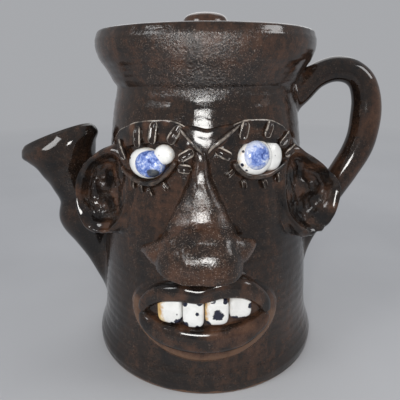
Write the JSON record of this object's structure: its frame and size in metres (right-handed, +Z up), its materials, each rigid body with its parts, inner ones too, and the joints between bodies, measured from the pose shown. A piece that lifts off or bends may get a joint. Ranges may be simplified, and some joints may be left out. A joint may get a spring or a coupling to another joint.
{
  "type": "coffee pot",
  "caption": "Glazed stoneware coffee pot shaped as a comic human head, with a sculpted face, a flared side spout, a looped pulled handle and a sunken lift-off lid with a knob.",
  "frame": {"origin": "centre of the flat foot, on the surface that the pot stands on", "axes": "+Z up along the axis that the pot was thrown on; -Y out of the face, -X towards the spout and +X towards the handle"},
  "size_m": [0.2447, 0.1792, 0.2224],
  "materials": {
    "dark_glaze": "very glossy near-black brown glaze, mottled",
    "white_glaze": "glossy milky white glaze",
    "blue_glaze": "glossy cobalt blue glaze, speckled into white"
  },
  "bodies": {
    "pot": {"jug_body": "dark_glaze", "spout": "dark_glaze", "handle": "dark_glaze", "mouth_pad": "dark_glaze", "upper_lip": "dark_glaze", "lower_lip": "dark_glaze", "nose": "dark_glaze", "left_ear": "dark_glaze", "right_ear": "dark_glaze", "brow_pad": "dark_glaze", "left_upper_lid": "dark_glaze", "left_lower_lid": "dark_glaze", "right_upper_lid": "dark_glaze", "right_lower_lid": "dark_glaze", "left_upper_lash_outer": "dark_glaze", "left_upper_lash_middle_outer": "dark_glaze", "left_upper_lash_middle_inner": "dark_glaze", "left_upper_lash_inner": "dark_glaze", "left_upper_lash_corner_upper": "dark_glaze", "left_upper_lash_corner_lower": "dark_glaze", "left_lower_lash_outer": "dark_glaze", "left_lower_lash_middle_outer": "dark_glaze", "left_lower_lash_middle_inner": "dark_glaze", "left_lower_lash_inner": "dark_glaze", "right_upper_lash_corner": "dark_glaze", "right_upper_lash_inner": "dark_glaze", "right_upper_lash_middle_outer": "dark_glaze", "right_upper_lash_outer": "dark_glaze", "right_upper_lash_corner_outer": "dark_glaze", "right_lower_lash_inner": "dark_glaze", "right_lower_lash_middle_inner": "dark_glaze", "right_lower_lash_middle_outer": "dark_glaze", "right_lower_lash_outer": "dark_glaze", "tooth_outer_left": "white_glaze", "tooth_inner_left": "white_glaze", "tooth_inner_right": "white_glaze", "tooth_outer_right": "white_glaze", "left_eyeball": "white_glaze", "left_eye_white": "white_glaze", "right_eyeball": "white_glaze", "right_eye_white": "white_glaze", "left_iris": "blue_glaze", "right_iris": "blue_glaze"},
    "lid": {"lid": "dark_glaze", "lid_knob": "dark_glaze"}
  },
  "joints": [
    {"name": "lid_lift", "type": "slide", "parent": "pot", "child": "lid", "axis": [0, 0, 1], "range_m": [0, 0.05]}
  ]
}
